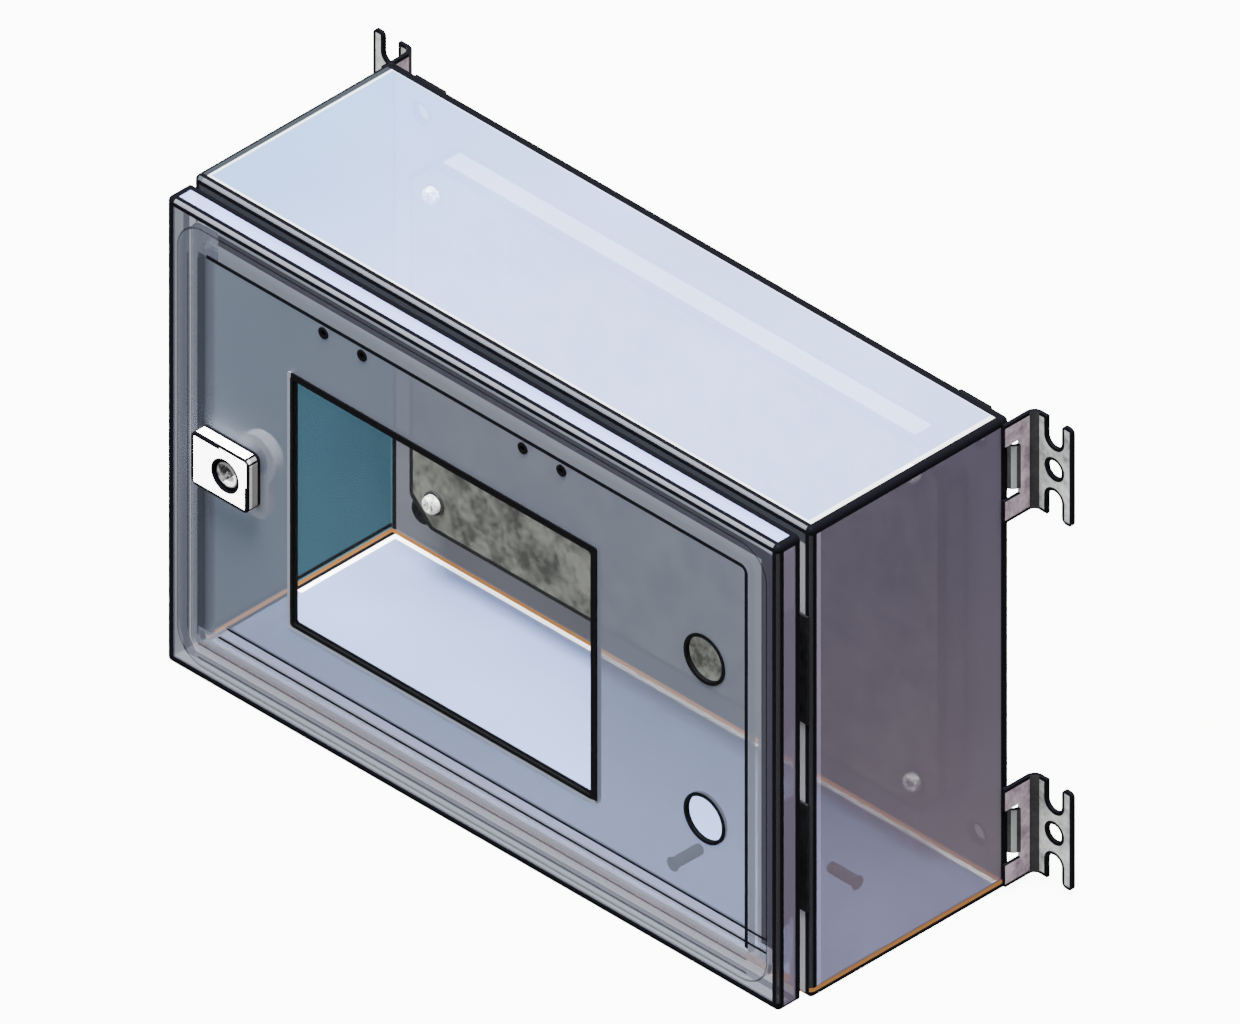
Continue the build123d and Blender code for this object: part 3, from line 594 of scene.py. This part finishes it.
def door_coat():
    """Grey see-through coat of the door, inked along its folds, edges and seal, with painted light and shade
    on its sides, foot, folds and seal bands.
    """
    finish = Finish("door coat")
    finish.gloss(COAT_GLOSS)
    x, y, z = finish.place()
    right = x > door_high.x - SHEET - SKIN
    top = z > door_high.z - SHEET - SKIN
    front = y < door_low.y + SHEET + SKIN
    by_left = x < door_low.x + FOLD
    by_base = z < door_low.z + FOLD
    by_right = x > door_high.x - FOLD
    by_top = z > door_high.z - FOLD
    by_front = y < door_low.y + FOLD
    height = z - middle_height

    # Painted light and shade: the door's right side painted darker, its top painted light, and a triangle at
    # its front foot painted lighter.
    tint = finish.mix(right, DOOR_TINT, DOOR_RIGHT_SHADE_TINT)
    tint = finish.mix(top, tint, DOOR_TOP_LIT_TINT)
    foot = front * (z < GUTTER_LINE_HIGH) * (z - door_low.z < x - door_low.x)
    strip = z.near(FOOT_LINE_HIGH + 2 * LIGHT_BAND, 2 * LIGHT_BAND)
    tint = finish.mix(foot, tint, DOOR_FOOT_PAINTED_LIGHT)
    tint = finish.shade(tint, DOOR_CLOUDS, DOOR_CLOUD_DEPTH)
    inner = finish.outside_frame(
        x, height, seal_high.x - SEAL_WIDTH, seal_high.z - middle_height - SEAL_WIDTH, SEAL_INNER_CORNER
    )
    outer = finish.outside_frame(x, height, seal_high.x, seal_high.z - middle_height, SEAL_CORNER)
    upper_seal = (z > middle_height).lowest(x > seal_low.x + 2 * SEAL_WIDTH) * (z > seal_high.z - SEAL_WIDTH)
    band = front * upper_seal.highest(x > seal_high.x - SEAL_WIDTH) * (z > seal_low.z + 2 * SEAL_WIDTH)
    # Painted shade: a dark band along the seal's outer part, painted on the door.
    seal_shade_band = band * (z > seal_high.z - SEAL_OUTER_BAND).highest(x > seal_high.x - SEAL_OUTER_BAND)
    seal_shade_band = seal_shade_band * (z < door_high.z - 2 * FOLD)
    inboard = x - seal_low.x - SEAL_WIDTH
    shadow = front * (inboard > 0.0) * (1.0 - inboard.step(SHADOW_FULL * SEAL_WIDTH, SHADOW_END * SEAL_WIDTH))
    shadow = shadow * (z > GUTTER_LINE_LOW) * (z < seal_high.z - SEAL_WIDTH)
    tint = finish.mix(shadow, tint, SEAL_SHADOW_TINT)
    tint = finish.mix(band, tint, SEAL_BAND_TINT)
    tint = finish.mix(seal_shade_band, tint, SEAL_SHADE_BAND_TINT)
    # Painted shading on the door's top-front and right-front folds.
    tint = finish.mix(by_top * by_front, tint, DOOR_FRONT_FOLD_SHADING)
    tint = finish.mix(by_right * by_front, tint, RIGHT_FRONT_FOLD_SHADING)
    near_side = (x < seal_low.x + SEAL_WIDTH).highest(x > seal_high.x - SEAL_WIDTH)
    near_end = (z < door_low.z + RIM_ZONE).highest(z > seal_high.z - SEAL_WIDTH)
    cover = DOOR_COVER + (DOOR_EDGE_COVER - DOOR_COVER) * near_side.highest(near_end)
    cover = cover + (DOOR_FOOT_COVER - DOOR_EDGE_COVER) * foot
    cover = cover - STRIP_COVER_LESS * foot * strip
    cover = cover.highest(FOLD_COVER * by_front * by_right.highest(by_top))
    cover = cover.highest(BAND_COVER * band, SEAL_SHADE_BAND_COVER * seal_shade_band)
    cover = cover.highest(DOOR_RIGHT_COVER * right)
    outer_skin = (x - door_low.x).lowest(door_high.x - x).lowest(z - door_low.z).lowest(door_high.z - z)
    cover = cover * (outer_skin.lowest(y - door_low.y) < OUTER_SKIN)

    line_front = y.near(door_low.y + FOLD, HALF_LINE)
    line_right = x.near(door_high.x - FOLD, HALF_LINE)
    line_top = z.near(door_high.z - FOLD, HALF_LINE)
    silhouette = (x < door_low.x + FOLD + 2 * HALF_LINE).highest(z < door_low.z + FOLD + 2 * HALF_LINE)
    silhouette = (silhouette * by_front).highest(top * (x < door_low.x + FOLD + 2 * HALF_LINE))
    corners = (by_top * by_right).highest(by_left * by_top, by_right * by_base)
    flange_end = y > door_high.y - SILHOUETTE_LINE
    ink = line_front.highest(line_right, line_top, silhouette, corners, flange_end)

    drawn_part = (x > seal_low.x + SEAL_WIDTH + 2 * FOLD) * (z > seal_low.z + SEAL_WIDTH + 2 * FOLD)
    inner_line = (abs(inner) < HALF_LINE) * drawn_part
    outer_line = (abs(outer) < THIN_HALF_LINE) * OUTER_LINE_COVER
    side_lines = x.near(seal_low.x + SEAL_WIDTH / 2, THIN_HALF_LINE).highest(abs(inboard) < THIN_HALF_LINE)
    side_lines = side_lines * (z > seal_low.z + SEAL_CORNER) * (z < seal_high.z - SEAL_CORNER)
    side_lines = side_lines * SIDE_LINE_COVER
    between = (x > seal_low.x + SEAL_WIDTH) * (x < seal_high.x - SEAL_WIDTH)
    foot_lines = z.near(FOOT_LINE_LOW, THIN_HALF_LINE).highest(z.near(FOOT_LINE_HIGH, THIN_HALF_LINE))
    foot_lines = foot_lines * FOOT_LINE_COVER
    wide = (x - GUTTER_MITRE * z > seal_low.x + LIGHT_BAND) * (x < seal_high.x)
    gutter_lines = z.near(GUTTER_LINE_LOW, GUTTER_HALF_LINE)
    gutter_lines = gutter_lines.highest(z.near(GUTTER_LINE_HIGH, GUTTER_HALF_LINE))
    drawn = inner_line.highest(outer_line, between * foot_lines, side_lines, wide * gutter_lines)
    ink = ink.highest(front * drawn)
    finish.colour(finish.mix(ink, tint, INK))
    finish.cover(ink.highest(cover))
    finish.rough(DOOR_ROUGHNESS + DOOR_ROUGH_SPREAD * finish.noise(COAT_GRAIN))
    return finish.material


def seal_foam():
    """Foamed seal, seen through the door as a pale band that is dark outside."""
    finish = Finish("seal foam", roughness=FOAM_ROUGHNESS)
    finish.gloss(COAT_GLOSS)
    _, y, z = finish.place()
    across, _, upward = finish.facing()
    above = (upward > MOSTLY) * (z > middle_height)
    shaded = above.highest(across > MOSTLY)
    tint = finish.mix(shaded, finish.shade(SEAL_TINT, SEAL_CLOUDS, SEAL_CLOUD_DEPTH), SEAL_SHADE)
    finish.colour(tint)
    glued = y < seal_low.y + THIN_HALF_LINE
    finish.cover((SEAL_COVER + (SEAL_SHADE_COVER - SEAL_COVER) * shaded) * (1.0 - glued))
    return finish.material


def clear_sheet():
    """Clear window pane."""
    finish = Finish("clear sheet", roughness=PANE_ROUGHNESS)
    smear = finish.noise(PANE_SMEAR_SCALE, detail=2.0)
    finish.colour(finish.mix(smear, PANE_TINT_LOW, PANE_TINT_HIGH))
    finish.cover(PANE_COVER * (PANE_LEAST_SMEAR + PANE_SMEAR_SPREAD * smear))
    return finish.material


def rubber(name):
    finish = Finish(name)
    finish.gloss(COAT_GLOSS)
    grain = finish.noise(RUBBER_GRAIN)
    finish.colour(finish.mix(grain, RUBBER_DARK, RUBBER_LIGHT))
    finish.rough(RUBBER_ROUGHNESS + RUBBER_ROUGH_SPREAD * grain)
    return finish.material


def window_rubber():
    """Rubber round the window, whose lip on the door carries a painted highlight in a light grey close to the
    door's tone.
    """
    finish = Finish("window rubber")
    finish.gloss(COAT_GLOSS)
    x, _, z = finish.place()
    centre = (pane_low + pane_high) / 2
    half = (pane_high - pane_low) / 2
    beyond = finish.outside_frame(x - centre.x, z - centre.z, half.x, half.z, FOLD / 2)
    grain = finish.noise(RUBBER_GRAIN)
    black = finish.mix(grain, RUBBER_DARK, RUBBER_LIGHT)
    outside = (centre.x - x - half.x).highest(centre.z - z - half.z)
    # Painted highlight: the rubber's lip on the door is painted light grey.
    lit_lip = (beyond > SKIN) * outside.step(0, LIP_EDGE)
    finish.colour(finish.mix(lit_lip, black, LIP_HIGHLIGHT_TINT))
    finish.rough(RUBBER_ROUGHNESS + RUBBER_ROUGH_SPREAD * grain)
    return finish.material


def zinc(name, dark, light, tone_scale):
    """Mottled zinc."""
    finish = Finish(name)
    finish.gloss(COAT_GLOSS)
    tone, patches = finish.mottle(tone_scale)
    finish.colour(finish.mix(tone, dark, light))
    finish.rough(ZINC_ROUGHNESS + ZINC_ROUGH_SPREAD * tone)
    finish.bump(patches, ZINC_BUMP, ZINC_RELIEF)
    return finish.material


def bracket_zinc():
    """Mottled brackets with black cut faces and inked rims, painted shading on their side faces and bends,
    and a painted highlight on the neck.
    """
    finish = Finish("bracket zinc")
    finish.gloss(COAT_GLOSS)
    x, y, z = finish.place()
    across, along, _ = finish.facing()
    side = shell_high.x
    half = (arm_high.z - arm_low.z) / 2
    height = abs(abs(z - middle_height) - arm_middle)
    over = abs(x) - side
    arm = over < ARM_THICKNESS + SKIN / 2
    upright = arm * (across > FLAT) * (over > -SKIN)
    level = (along > FLAT) * (1.0 - (over > -SKIN) * arm * (y < rear_high.y - SKIN))
    bent = (across > BARELY) * (along > BARELY)
    neck = bent * (y < rear_high.y + 3 * ARM_THICKNESS)

    tone, patches = finish.mottle(ARM_TONE_SCALE)
    # Painted shading: the side-facing uprights take a purple cast, the bends are painted dark, and part of
    # the neck carries a painted highlight.
    tint = finish.mix(tone, ARM_DARK, ARM_LIGHT)
    tint = finish.mix(upright, tint, finish.mix(tone, UPRIGHT_SHADE_DARK, UPRIGHT_SHADE_LIGHT))
    tint = finish.mix(bent, tint, finish.mix(tone, BEND_SHADE_DARK, BEND_SHADE_LIGHT))
    tint = finish.mix(neck * along.near(NECK_LIT_FACING, NECK_LIT_REACH), tint, NECK_HIGHLIGHT_TINT)

    hole_x = abs(x) - (arm_high.x - ARM_HOLE_INSET)
    past = (height - ARM_SLOT_START).highest(0)
    slot_near = height.lowest(ARM_SLOT_START) - ARM_SLOT_START
    slot = (hole_x * hole_x + slot_near * slot_near).root() - ARM_SLOT_RADIUS
    hole = (hole_x * hole_x + height * height).root() - WALL_HOLE_RADIUS
    rims = (slot < CUT_LINE).highest(hole < CUT_LINE, past > half - ARM_SLOT_START - CUT_LINE)
    rims = rims.highest(height > half - CUT_LINE, abs(x) > arm_high.x - CUT_LINE)
    ink = (1.0 - upright.highest(level, bent)).highest(rims * (1.0 - bent))
    finish.colour(finish.mix(ink, tint, INK))
    finish.rough(ZINC_ROUGHNESS + ZINC_ROUGH_SPREAD * tone)
    finish.bump(patches, ZINC_BUMP, ZINC_RELIEF)
    return finish.material


def plate_zinc():
    """Galvanised mounting plate, whose top face is painted lighter as painted light from above."""
    finish = Finish("galvanised plate")
    finish.gloss(COAT_GLOSS)
    patches = finish.noise(PLATE_TONE_SCALE, detail=6.0, roughness=0.66)
    grains = finish.noise(PLATE_GRAIN_SCALE, detail=2.0)
    tone = patches * PLATE_PATCH_SHARE + grains * (1.0 - PLATE_PATCH_SHARE)
    tone = tone.step(PLATE_TONE_LOW, PLATE_TONE_HIGH)
    tint = finish.mix(tone, PLATE_DARK, PLATE_LIGHT)
    x, y, z = finish.place()
    across, along, upward = finish.facing()
    # Painted light on the plate's top face.
    upper = z > plate_high.z - SHEET
    tint = finish.mix(upper, tint, PLATE_FLANGE_HIGHLIGHT)
    height = abs(z - middle_height)
    half_height = plate_high.z - middle_height
    from_side = plate_high.x - abs(x)
    from_end = half_height - height
    folds = (from_side < PLATE_FOLD + HALF_LINE).highest(from_end < PLATE_FOLD + HALF_LINE)
    corner = (from_side + from_end) < PLATE_CORNER_CUT + 4 * HALF_LINE
    facing_front = along > PARTLY
    bent = (1.0 - across.highest(along, upward)) > BENT_AT_ALL
    ink = (facing_front * folds).highest(corner, bent)
    ink = ink.highest((1.0 - facing_front) * (y > plate_high.y - 2 * HALF_LINE))
    finish.colour(finish.mix(ink * PLATE_INK, tint, INK))
    finish.rough(ZINC_ROUGHNESS + ZINC_ROUGH_SPREAD * tone)
    finish.bump(patches, ZINC_BUMP, PLATE_RELIEF)
    return finish.material


def white_moulding():
    """White lock housing with inked edges, painted shade on its right flank with a painted highlight strip at
    its front, and a painted glow so that it stays white.
    """
    finish = Finish("white moulding", roughness=MOULDING_ROUGHNESS)
    finish.gloss(COAT_GLOSS)
    x, y, z = finish.place()
    across, along, upward = finish.facing()
    right = x > lock_middle
    face = along > SQUARE_ON
    half = (lock_high - lock_low) / 2
    border = finish.outside_frame(x - lock_middle, z - middle_height, half.x, half.z, FOLD)
    core_x = x - core_middle
    core_z = z - middle_height
    core_reach = (core_x * core_x + core_z * core_z).root()
    ring = core_reach < CORE_RADIUS + CUT_LINE
    low_border = (border > -2 * HALF_LINE) * (z < middle_height).highest(x < lock_middle)
    rounding = (along > BARELY_FRONT) * (along < SQUARE_ON)
    face_edge = rounding.highest(face * (border > -HALF_LINE).highest(low_border), ring)
    flank = along < MOSTLY
    at_door = (y > door_low.y - CUT_LINE) * flank
    turn = across.near(CORNER_TOP_FACING, CORNER_TOP_REACH)
    turn = turn.highest(across.near(CORNER_SIDE_FACING, CORNER_SIDE_REACH))
    corner = flank * right * turn
    shaded = flank * right * (across > MOSTLY)
    rounded = flank * (across > SLIGHTLY) * (upward > SLIGHTLY) * (1.0 - right)
    ink = face_edge.highest(at_door, corner, rounded)
    # Painted shade on the housing's right flank, with a painted highlight strip along its front part.
    tint = finish.mix(shaded, MOULDING_TINT, MOULDING_SHADED_SIDE)
    tint = finish.mix(shaded * (y < lock_low.y + FOLD), tint, MOULDING_FRONT_HIGHLIGHT)
    finish.colour(finish.mix(ink, tint, INK))
    # Painted glow that keeps the housing white, kept off the ink and the shaded flank.
    finish.glow(finish.mix(ink.highest(shaded), MOULDING_LIGHT, BLACK), MOULDING_GLOW)
    finish.bump(finish.noise(MOULDING_GRAIN), MOULDING_BUMP, MOULDING_RELIEF)
    return finish.material


def core_zinc():
    """Lock core with a painted highlight crescent towards its lower right, dark round its rim."""
    finish = Finish("lock core")
    finish.gloss(COAT_GLOSS)
    x, _, z = finish.place()
    over_x = x - core_middle
    over_z = z - middle_height
    reach = (over_x * over_x + over_z * over_z).root()
    lean = over_x - over_z
    tone = finish.noise(CORE_TONE_SCALE).step(CORE_TONE_LOW, CORE_TONE_HIGH)
    tint = finish.mix(tone, CORE_DARK, CORE_LIGHT)
    # Painted highlight: a pale crescent towards the lower right.
    crescent = reach.near(CRESCENT_MIDDLE * CORE_RADIUS, CRESCENT_HALF * CORE_RADIUS)
    crescent = crescent * (lean > CORE_RADIUS / 3)
    tint = finish.mix(crescent, tint, CRESCENT_HIGHLIGHT)
    finish.colour(finish.mix(reach > CORE_RIM_START * CORE_RADIUS, tint, INK))
    finish.rough(CORE_ROUGHNESS + CORE_ROUGH_SPREAD * tone)
    return finish.material


def screw_thread(name, body, start, direction, material):
    """Thread ridge that winds along a stud, spun from one small triangle."""
    aside = direction.orthogonal().normalized()
    foot = start + aside * (STUD_RADIUS - THREAD_SINK)
    crest = start + aside * (STUD_RADIUS + THREAD_DEPTH)
    half = direction * THREAD_HALF_BASE
    shape = bmesh.new()
    face = shape.faces.new([shape.verts.new(corner) for corner in (foot - half, crest, foot + half)])
    bmesh.ops.spin(
        shape,
        geom=[face, *face.edges, *face.verts],
        cent=start,
        axis=direction,
        dvec=direction * (THREAD_PITCH / THREAD_STEPS),
        angle=2 * pi * THREAD_TURNS,
        steps=THREAD_STEPS * THREAD_TURNS,
    )
    bmesh.ops.recalc_face_normals(shape, faces=shape.faces)
    mesh = bpy.data.meshes.new(name)
    shape.to_mesh(mesh)
    shape.free()
    mesh.materials.append(material)
    ridge = bpy.data.objects.new(name, mesh)
    bpy.context.scene.collection.objects.link(ridge)
    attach(ridge, body)


def dress(node_names, material):
    for name in node_names:
        slots = nodes[name].data.materials
        for index in range(len(slots)):
            slots[index] = material


def let_light_through(node_names):
    """See-through sheets throw no shadow and give no bounce into the inside."""
    for name in node_names:
        nodes[name].visible_shadow = False
        nodes[name].visible_diffuse = False
        nodes[name].visible_glossy = False


def look_from(aim, azimuth, elevation, distance):
    """Place of the camera, and its turn, as it looks at a point."""
    back = Vector((sin(azimuth) * cos(elevation), -cos(azimuth) * cos(elevation), sin(elevation)))
    return aim + back * distance, (-back).to_track_quat("-Z", "Y").to_euler()


def add_camera():
    data = bpy.data.cameras.new("view")
    data.type = "ORTHO"
    data.ortho_scale = CAMERA_WIDTH
    camera = bpy.data.objects.new("view", data)
    camera.location, camera.rotation_euler = look_from(
        CAMERA_AIM, CAMERA_AZIMUTH, CAMERA_ELEVATION, CAMERA_DISTANCE
    )
    bpy.context.scene.collection.objects.link(camera)
    bpy.context.scene.camera = camera


def add_sun(name, strength, azimuth, elevation):
    data = bpy.data.lights.new(name, "SUN")
    data.energy = strength
    data.angle = SUN_WIDTH
    lamp = bpy.data.objects.new(name, data)
    lamp.location, lamp.rotation_euler = look_from(Vector((0, 0, 0)), azimuth, elevation, SUN_DISTANCE)
    bpy.context.scene.collection.objects.link(lamp)


def seen_directly(tree):
    """1 where the camera sees a thing with no see-through sheet in between."""
    path = tree.nodes.new("ShaderNodeLightPath")
    clear = tree.nodes.new("ShaderNodeMath")
    clear.operation = "LESS_THAN"
    clear.inputs[1].default_value = 0.5
    tree.links.new(path.outputs["Transparent Depth"], clear.inputs[0])
    return path.outputs["Is Camera Ray"], clear.outputs[0]


def add_sky():
    """White backdrop to look at, and an even soft light from all round."""
    world = bpy.data.worlds.new("studio")
    world.use_nodes = True
    tree = world.node_tree
    background = tree.nodes["Background"]
    background.inputs["Color"].default_value = (*BACKDROP_TINT, 1.0)
    by_camera, clear = seen_directly(tree)
    shown = tree.nodes.new("ShaderNodeMapRange")
    shown.inputs["To Min"].default_value = BACKDROP_THROUGH_SHEET
    shown.inputs["To Max"].default_value = BACKDROP_STRENGTH
    tree.links.new(clear, shown.inputs["Value"])
    strength = tree.nodes.new("ShaderNodeMapRange")
    strength.inputs["To Min"].default_value = SKY_STRENGTH
    tree.links.new(by_camera, strength.inputs["Value"])
    tree.links.new(shown.outputs["Result"], strength.inputs["To Max"])
    tree.links.new(strength.outputs["Result"], background.inputs["Strength"])
    bpy.context.scene.world = world


def add_floor():
    mesh = bpy.data.meshes.new("floor")
    shape = bmesh.new()
    bmesh.ops.create_grid(shape, x_segments=1, y_segments=1, size=FLOOR_HALF)
    bmesh.ops.translate(shape, verts=shape.verts, vec=(0, 0, -FLOOR_GAP))
    shape.to_mesh(mesh)
    shape.free()
    floor = bpy.data.objects.new("floor", mesh)
    bpy.context.scene.collection.objects.link(floor)
    finish = Finish("pale floor", roughness=FLOOR_ROUGHNESS)
    finish.gloss(0)
    cloud = finish.noise(FLOOR_CLOUDS, detail=1.0)
    finish.colour(finish.mix(cloud, FLOOR_DARK, FLOOR_LIGHT))
    finish.glow(BACKDROP_TINT, FLOOR_GLOW)
    tree = finish.tree
    through = tree.nodes.new("ShaderNodeEmission")
    through.inputs["Strength"].default_value = BACKDROP_THROUGH_SHEET
    chosen = tree.nodes.new("ShaderNodeMixShader")
    tree.links.new(seen_directly(tree)[1], chosen.inputs[0])
    tree.links.new(through.outputs[0], chosen.inputs[1])
    tree.links.new(finish.shader.outputs[0], chosen.inputs[2])
    tree.links.new(chosen.outputs[0], tree.nodes["Material Output"].inputs["Surface"])
    mesh.materials.append(finish.material)
    floor.visible_diffuse = False
    floor.visible_glossy = False


dress(["body_shell", "rear_panel"], body_coat())
dress(["door_panel"], door_coat())
dress(["door_gasket"], seal_foam())
dress(["window_pane"], clear_sheet())
dress(["window_seal"], window_rubber())
dress(["hole_edgings"], rubber("black rubber"))
dress(["cover_inserts"], rubber("blackened inserts"))
dress(["lock_housing"], white_moulding())
dress(["mounting_plate"], plate_zinc())
dress(
    ["bracket_top_left", "bracket_top_right", "bracket_bottom_left", "bracket_bottom_right"],
    bracket_zinc(),
)
dress(["plate_screws", "bracket_nuts"], zinc("bright fastener", FASTENER_DARK, FASTENER_LIGHT, 190.0))
dress(["plate_spacers"], zinc("wall grey spacer", SPACER_DARK, SPACER_LIGHT, 90.0))
dress(["plate_washers"], zinc("dark washer", WASHER_DARK, WASHER_LIGHT, 260.0))
dress(["lock_nut", "lock_cam", "cam_screw"], zinc("dulled zinc", CAM_DARK, CAM_LIGHT, 120.0))
dress(["lock_core"], core_zinc())
stud_steel = zinc("stud steel", STUD_DARK, STUD_LIGHT, 180.0)
dress(["earth_stud_door", "earth_stud_body", "bracket_studs"], stud_steel)
wall_stud_low, wall_stud_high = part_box("earth_stud_body")
door_stud_low, door_stud_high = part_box("earth_stud_door")
wall_stud_middle = (wall_stud_low + wall_stud_high) / 2
door_stud_middle = (door_stud_low + door_stud_high) / 2
wall_stud_start = Vector((wall_stud_low.x + THREAD_START, wall_stud_middle.y, wall_stud_middle.z))
door_stud_start = Vector((door_stud_middle.x, door_stud_high.y - THREAD_START, door_stud_middle.z))
screw_thread("earth_thread_body", "enclosure", wall_stud_start, Vector((1, 0, 0)), stud_steel)
screw_thread("earth_thread_door", "door", door_stud_start, Vector((0, -1, 0)), stud_steel)
dress(
    ["upper_hinge_body_leaf", "lower_hinge_body_leaf", "upper_hinge_door_leaf", "lower_hinge_door_leaf"],
    zinc("hinge black", HINGE_DARK, HINGE_LIGHT, 120.0),
)
dress(["upper_hinge_pin", "lower_hinge_pin", "hinge_screws"], zinc("hinge pin", PIN_DARK, PIN_LIGHT, 200.0))

let_light_through(["body_shell", "rear_panel", "door_panel", "door_gasket", "window_pane"])

add_camera()
add_sun("overhead light", TOP_SUN_STRENGTH, TOP_SUN_AZIMUTH, TOP_SUN_ELEVATION)
add_sun("front light", FRONT_SUN_STRENGTH, FRONT_SUN_AZIMUTH, FRONT_SUN_ELEVATION)
add_sky()
add_floor()
